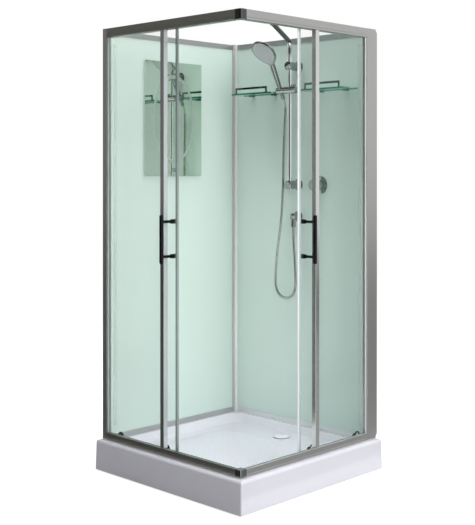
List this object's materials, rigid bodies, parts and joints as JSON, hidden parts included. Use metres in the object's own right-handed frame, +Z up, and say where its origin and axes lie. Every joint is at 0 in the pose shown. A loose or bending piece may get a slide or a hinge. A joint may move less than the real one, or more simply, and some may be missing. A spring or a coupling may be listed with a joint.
{
  "type": "shower cabin",
  "caption": "Square corner-entry shower cabin: tray, aluminium frame, sliding glass doors, painted glass walls, mirror, shelves, riser with hand shower, hose and mixer.",
  "frame": {"origin": "on the floor, at the middle of the tray's footprint", "axes": "+Z up; the front with the first door faces -Y and the second door's side faces +X; the mirror wall stands at -X and the shower wall at +Y"},
  "size_m": [0.9, 0.9, 2.0216],
  "materials": {
    "white_acrylic": "gloss",
    "zinc_steel": "zinc plated",
    "waste_plastic": "matte",
    "white_plastic": "gloss",
    "satin_aluminium": "satin anodised",
    "chrome": "polished",
    "plated_plastic": "chrome plated",
    "clear_glass": "clear",
    "mint_panel_glass": "painted behind",
    "shelf_glass": "polished edges",
    "mirror": "silvered",
    "pale_seal": "soft",
    "clear_seal": "soft",
    "wheel_plastic": "smooth",
    "spray_face": "satin",
    "hose_metal": "chrome plated spiral"
  },
  "bodies": {
    "cabin": {"tray": "white_acrylic", "levelling_feet": "zinc_steel", "waste_body": "waste_plastic", "left_post": "satin_aluminium", "right_post": "satin_aluminium", "right_wall_profile": "satin_aluminium", "rear_corner_post": "satin_aluminium", "front_top_rail": "satin_aluminium", "front_bottom_rail": "satin_aluminium", "side_top_rail": "satin_aluminium", "side_bottom_rail": "satin_aluminium", "top_corner_joint": "plated_plastic", "bottom_corner_joint": "plated_plastic", "front_fixed_glass": "clear_glass", "side_fixed_glass": "clear_glass", "front_fixed_stile": "satin_aluminium", "side_fixed_stile": "satin_aluminium", "post_gaskets": "pale_seal", "left_wall_panel": "mint_panel_glass", "back_wall_panel": "mint_panel_glass", "wall_panel_trims": "satin_aluminium", "mirror": "mirror", "mirror_fixings": "plated_plastic", "left_shelf": "shelf_glass", "right_shelf": "shelf_glass", "shelf_clips": "chrome", "shelf_galleries": "chrome", "riser_rail": "chrome", "riser_brackets": "chrome", "hose": "hose_metal", "wall_elbow": "chrome", "mixer_plate": "chrome"},
    "front_door": {"front_door_glass": "clear_glass", "front_door_magnet_seal": "clear_seal", "front_door_fin_seal": "clear_seal", "front_door_handle_bar": "chrome", "front_door_handle_fixings": "chrome", "front_door_roller_carriers": "plated_plastic"},
    "side_door": {"side_door_glass": "clear_glass", "side_door_magnet_seal": "clear_seal", "side_door_fin_seal": "clear_seal", "side_door_handle_bar": "chrome", "side_door_handle_fixings": "chrome", "side_door_roller_carriers": "plated_plastic"},
    "handset_slider": {"slider": "plated_plastic"},
    "slider_lock": {"slider_lock_knob": "plated_plastic"},
    "handset": {"handset_cradle": "plated_plastic", "hand_shower": "plated_plastic", "spray_plate": "spray_face"},
    "mixer_sleeve": {"mixer_knob": "chrome"},
    "mixer_handle": {"mixer_lever": "chrome"},
    "drain_lid": {"drain_cover": "white_plastic"},
    "front_top_lead_roller": {"front_top_lead_wheel": "wheel_plastic"},
    "front_top_trail_roller": {"front_top_trail_wheel": "wheel_plastic"},
    "front_bottom_lead_roller": {"front_bottom_lead_wheel": "wheel_plastic"},
    "front_bottom_trail_roller": {"front_bottom_trail_wheel": "wheel_plastic"},
    "side_top_lead_roller": {"side_top_lead_wheel": "wheel_plastic"},
    "side_top_trail_roller": {"side_top_trail_wheel": "wheel_plastic"},
    "side_bottom_lead_roller": {"side_bottom_lead_wheel": "wheel_plastic"},
    "side_bottom_trail_roller": {"side_bottom_trail_wheel": "wheel_plastic"}
  },
  "joints": [
    {"name": "front_door_slide", "type": "slide", "parent": "cabin", "child": "front_door", "axis": [1, 0, 0], "range_m": [0, 0.3575]},
    {"name": "side_door_slide", "type": "slide", "parent": "cabin", "child": "side_door", "axis": [0, -1, 0], "range_m": [-0.012, 0.3365]},
    {"name": "slider_height", "type": "slide", "parent": "cabin", "child": "handset_slider", "axis": [0, 0, 1], "range_m": [-0.38, 0.04], "deforming": ["hose"]},
    {"name": "slider_lock_turn", "type": "hinge", "parent": "handset_slider", "child": "slider_lock", "pos_m": [0.026, 0.34, 1.698], "axis": [0, 0, 1], "range_deg": [0, 90]},
    {"name": "handset_tilt", "type": "hinge", "parent": "handset_slider", "child": "handset", "pos_m": [-0.059, 0.34, 1.698], "axis": [1, 0, 0], "range_deg": [-15, 15], "deforming": ["hose"]},
    {"name": "mixer_turn", "type": "hinge", "parent": "cabin", "child": "mixer_sleeve", "pos_m": [0.133, 0.367, 1.256], "axis": [0, -1, 0], "range_deg": [-45, 45]},
    {"name": "mixer_lift", "type": "hinge", "parent": "mixer_sleeve", "child": "mixer_handle", "pos_m": [0.133, 0.348, 1.256], "axis": [-1, 0, 0], "range_deg": [0, 20]},
    {"name": "drain_cover_lift", "type": "slide", "parent": "cabin", "child": "drain_lid", "axis": [0, 0, 1], "range_m": [0, 0.06]},
    {"name": "front_top_lead_spin", "type": "hinge", "parent": "front_door", "child": "front_top_lead_roller", "pos_m": [-0.054, -0.3972, 1.924], "axis": [0, 1, 0], "range_deg": [-2, 1865]},
    {"name": "front_top_trail_spin", "type": "hinge", "parent": "front_door", "child": "front_top_trail_roller", "pos_m": [-0.359, -0.3972, 1.924], "axis": [0, 1, 0], "range_deg": [-2, 1865]},
    {"name": "front_bottom_lead_spin", "type": "hinge", "parent": "front_door", "child": "front_bottom_lead_roller", "pos_m": [-0.054, -0.3972, 0.1543], "axis": [0, 1, 0], "range_deg": [-2, 1865]},
    {"name": "front_bottom_trail_spin", "type": "hinge", "parent": "front_door", "child": "front_bottom_trail_roller", "pos_m": [-0.359, -0.3972, 0.1543], "axis": [0, 1, 0], "range_deg": [-2, 1865]},
    {"name": "side_top_lead_spin", "type": "hinge", "parent": "side_door", "child": "side_top_lead_roller", "pos_m": [0.3972, 0.033, 1.924], "axis": [1, 0, 0], "range_deg": [-65, 1755]},
    {"name": "side_top_trail_spin", "type": "hinge", "parent": "side_door", "child": "side_top_trail_roller", "pos_m": [0.3972, 0.338, 1.924], "axis": [1, 0, 0], "range_deg": [-65, 1755]},
    {"name": "side_bottom_lead_spin", "type": "hinge", "parent": "side_door", "child": "side_bottom_lead_roller", "pos_m": [0.3972, 0.033, 0.1543], "axis": [1, 0, 0], "range_deg": [-65, 1755]},
    {"name": "side_bottom_trail_spin", "type": "hinge", "parent": "side_door", "child": "side_bottom_trail_roller", "pos_m": [0.3972, 0.338, 0.1543], "axis": [1, 0, 0], "range_deg": [-65, 1755]}
  ],
  "couplings": [
    {"joint": "front_top_lead_spin", "follows": "front_door_slide", "rad_per_m": 90.909},
    {"joint": "front_top_trail_spin", "follows": "front_door_slide", "rad_per_m": 90.909},
    {"joint": "front_bottom_lead_spin", "follows": "front_door_slide", "rad_per_m": 90.909},
    {"joint": "front_bottom_trail_spin", "follows": "front_door_slide", "rad_per_m": 90.909},
    {"joint": "side_top_lead_spin", "follows": "side_door_slide", "rad_per_m": 90.909},
    {"joint": "side_top_trail_spin", "follows": "side_door_slide", "rad_per_m": 90.909},
    {"joint": "side_bottom_lead_spin", "follows": "side_door_slide", "rad_per_m": 90.909},
    {"joint": "side_bottom_trail_spin", "follows": "side_door_slide", "rad_per_m": 90.909}
  ]
}
